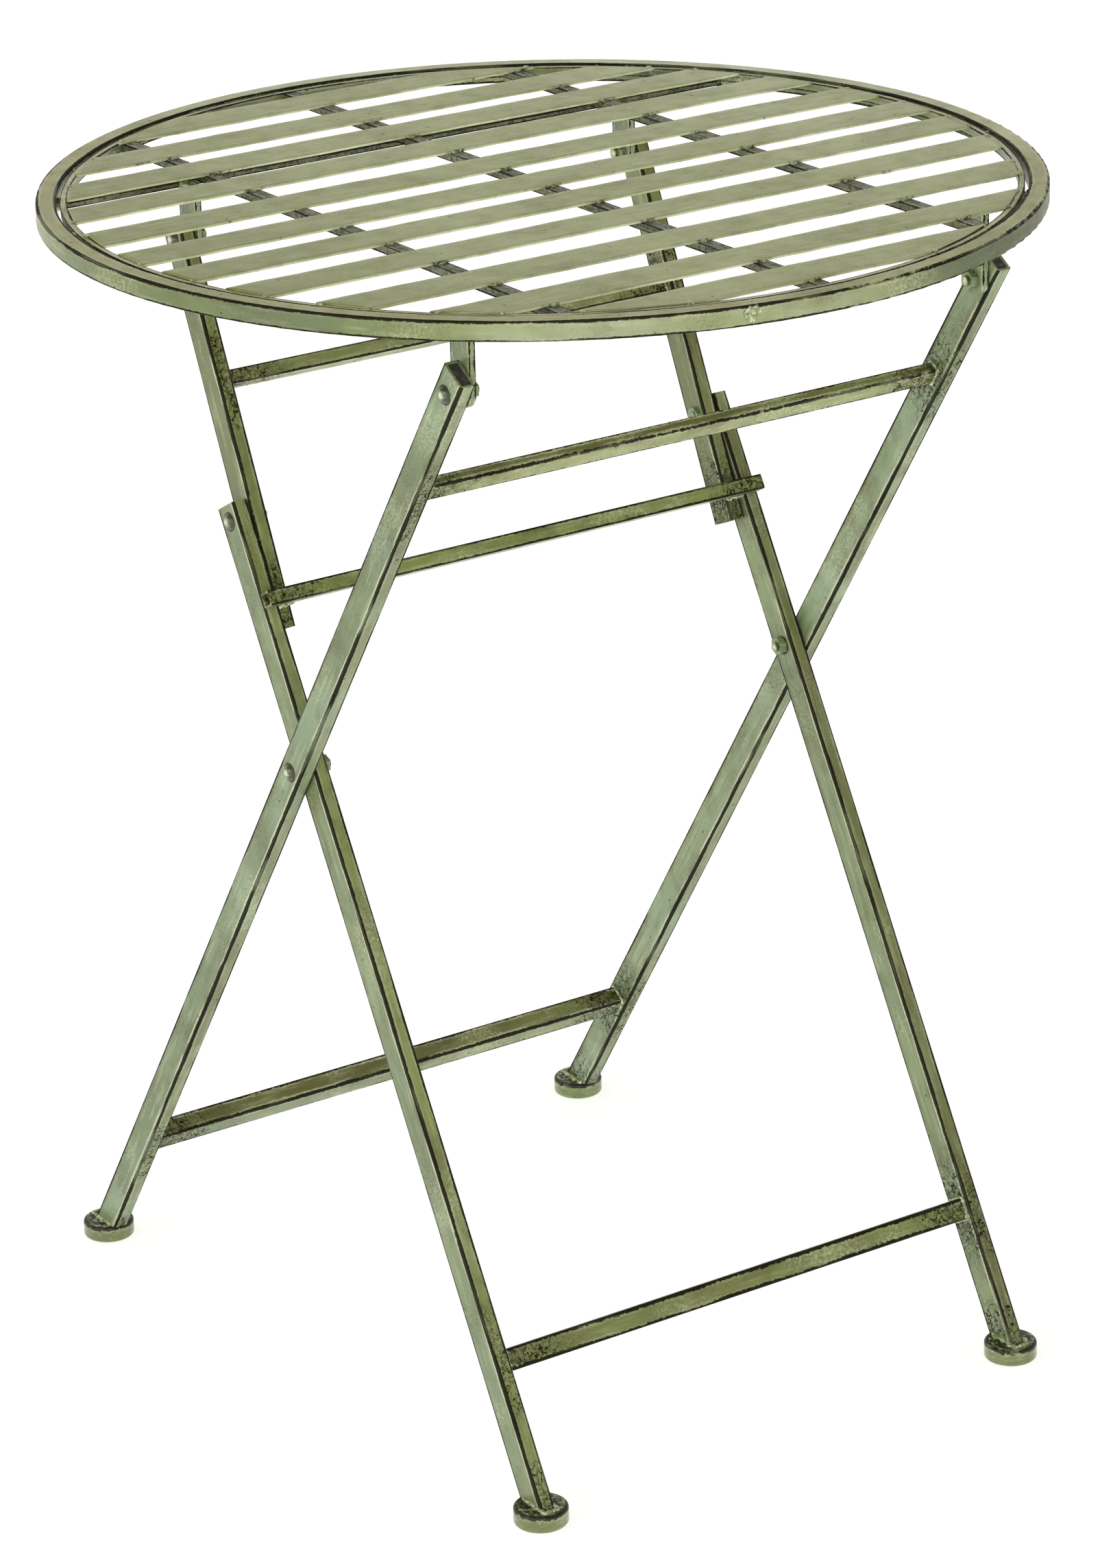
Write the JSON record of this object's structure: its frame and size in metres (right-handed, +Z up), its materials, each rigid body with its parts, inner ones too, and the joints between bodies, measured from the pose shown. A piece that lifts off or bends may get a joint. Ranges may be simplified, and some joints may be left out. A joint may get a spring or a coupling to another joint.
{
  "type": "bistro table",
  "caption": "Round folding bistro table: slatted painted steel top in a square-bar hoop, on two crossed tube leg frames with a locking link frame and round disc feet.",
  "frame": {"origin": "on the floor, under the middle of the round top", "axes": "+Z up, X along the slats and the pivots, -Y towards the feet of the inner legs, the front"},
  "size_m": [0.6, 0.6, 0.739],
  "materials": {
    "top_paint": "worn olive-sage paint with dark antiqued edges",
    "slat_paint": "worn grey-olive paint with smudges and dark edges",
    "frame_paint": "worn sage-green paint, rubbed pale and dark along the edges",
    "fastener_paint": "painted over, dark in the joints",
    "plug_plastic": "charcoal, matt"
  },
  "bodies": {
    "inner_frame": {"inner_foot_left": "frame_paint", "inner_foot_right": "frame_paint", "inner_leg_left": "frame_paint", "inner_leg_plugs": "plug_plastic", "inner_leg_right": "frame_paint", "inner_lower_rail": "frame_paint", "knee_bolts": "fastener_paint"},
    "outer_frame": {"crossing_bolts": "fastener_paint", "crossing_nuts": "fastener_paint", "crossing_washers": "fastener_paint", "front_bolts": "fastener_paint", "front_nuts": "fastener_paint", "front_washers": "fastener_paint", "outer_foot_left": "frame_paint", "outer_foot_right": "frame_paint", "outer_leg_left": "frame_paint", "outer_leg_plugs": "plug_plastic", "outer_leg_right": "frame_paint", "outer_lower_rail": "frame_paint", "outer_upper_rail": "frame_paint"},
    "table_top": {"cross_bar_left": "top_paint", "cross_bar_middle": "top_paint", "cross_bar_right": "top_paint", "front_bracket_left": "frame_paint", "front_bracket_right": "frame_paint", "rear_bracket_left": "frame_paint", "rear_bracket_right": "frame_paint", "rim_hoop": "top_paint", "ring_tacks": "top_paint", "slat_01": "slat_paint", "slat_02": "slat_paint", "slat_03": "slat_paint", "slat_04": "slat_paint", "slat_05": "slat_paint", "slat_06": "slat_paint", "slat_07": "slat_paint", "slat_08": "slat_paint", "slat_09": "slat_paint", "slat_10": "slat_paint", "slat_11": "slat_paint", "slat_ring": "top_paint", "under_bar_front": "top_paint", "under_bar_rear": "top_paint"},
    "link_frame": {"knee_nuts": "fastener_paint", "link_left": "frame_paint", "link_right": "frame_paint", "link_upper_rail": "frame_paint", "rear_bolts": "fastener_paint", "rear_nuts": "fastener_paint", "rear_washers": "fastener_paint", "stop_bar": "frame_paint", "stop_blocks": "frame_paint"}
  },
  "joints": [
    {"name": "crossing_fold", "type": "hinge", "parent": "inner_frame", "child": "outer_frame", "pos_m": [0, -0.0029, 0.4079], "axis": [1, 0, 0], "range_deg": [-56, 0]},
    {"name": "front_pivot", "type": "hinge", "parent": "outer_frame", "child": "table_top", "pos_m": [0, -0.18591, 0.68694], "axis": [1, 0, 0], "range_deg": [-32.8, 0]},
    {"name": "rear_pivot", "type": "hinge", "parent": "table_top", "child": "link_frame", "pos_m": [0, 0.14301, 0.70091], "axis": [1, 0, 0], "range_deg": [-41.9, 0]}
  ],
  "couplings": [
    {"joint": "front_pivot", "follows": "crossing_fold", "ratio": 0.58309},
    {"joint": "rear_pivot", "follows": "crossing_fold", "ratio": 0.74639}
  ]
}
